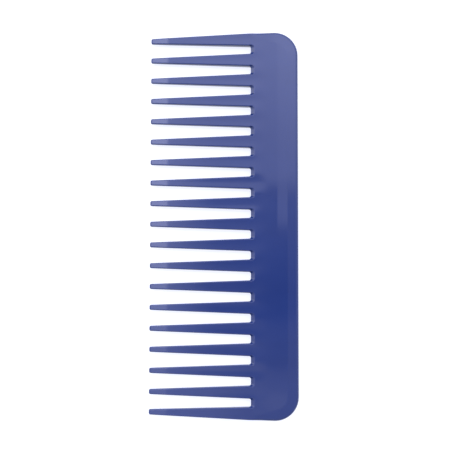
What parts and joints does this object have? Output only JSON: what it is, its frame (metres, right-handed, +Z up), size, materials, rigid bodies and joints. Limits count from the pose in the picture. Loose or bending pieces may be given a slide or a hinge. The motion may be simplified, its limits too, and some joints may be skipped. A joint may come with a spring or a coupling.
{
  "type": "wide tooth comb",
  "caption": "Flat moulded plastic hair comb: a straight spine with rounded corners and a row of long, tapered, widely spaced teeth.",
  "frame": {"origin": "on the resting plane, under the middle of the comb's length and width", "axes": "+X along the row of teeth from the first tooth to the last, +Y from the tooth tips to the back of the spine, +Z up through the thickness"},
  "size_m": [0.157, 0.06, 0.0036],
  "materials": {
    "blue_plastic": "gloss"
  },
  "bodies": {
    "root": {"spine": "blue_plastic", "tooth_01": "blue_plastic", "tooth_02": "blue_plastic", "tooth_03": "blue_plastic", "tooth_04": "blue_plastic", "tooth_05": "blue_plastic", "tooth_06": "blue_plastic", "tooth_07": "blue_plastic", "tooth_08": "blue_plastic", "tooth_09": "blue_plastic", "tooth_10": "blue_plastic", "tooth_11": "blue_plastic", "tooth_12": "blue_plastic", "tooth_13": "blue_plastic", "tooth_14": "blue_plastic", "tooth_15": "blue_plastic", "tooth_16": "blue_plastic", "tooth_17": "blue_plastic", "tooth_18": "blue_plastic", "tooth_19": "blue_plastic"}
  },
  "joints": []
}
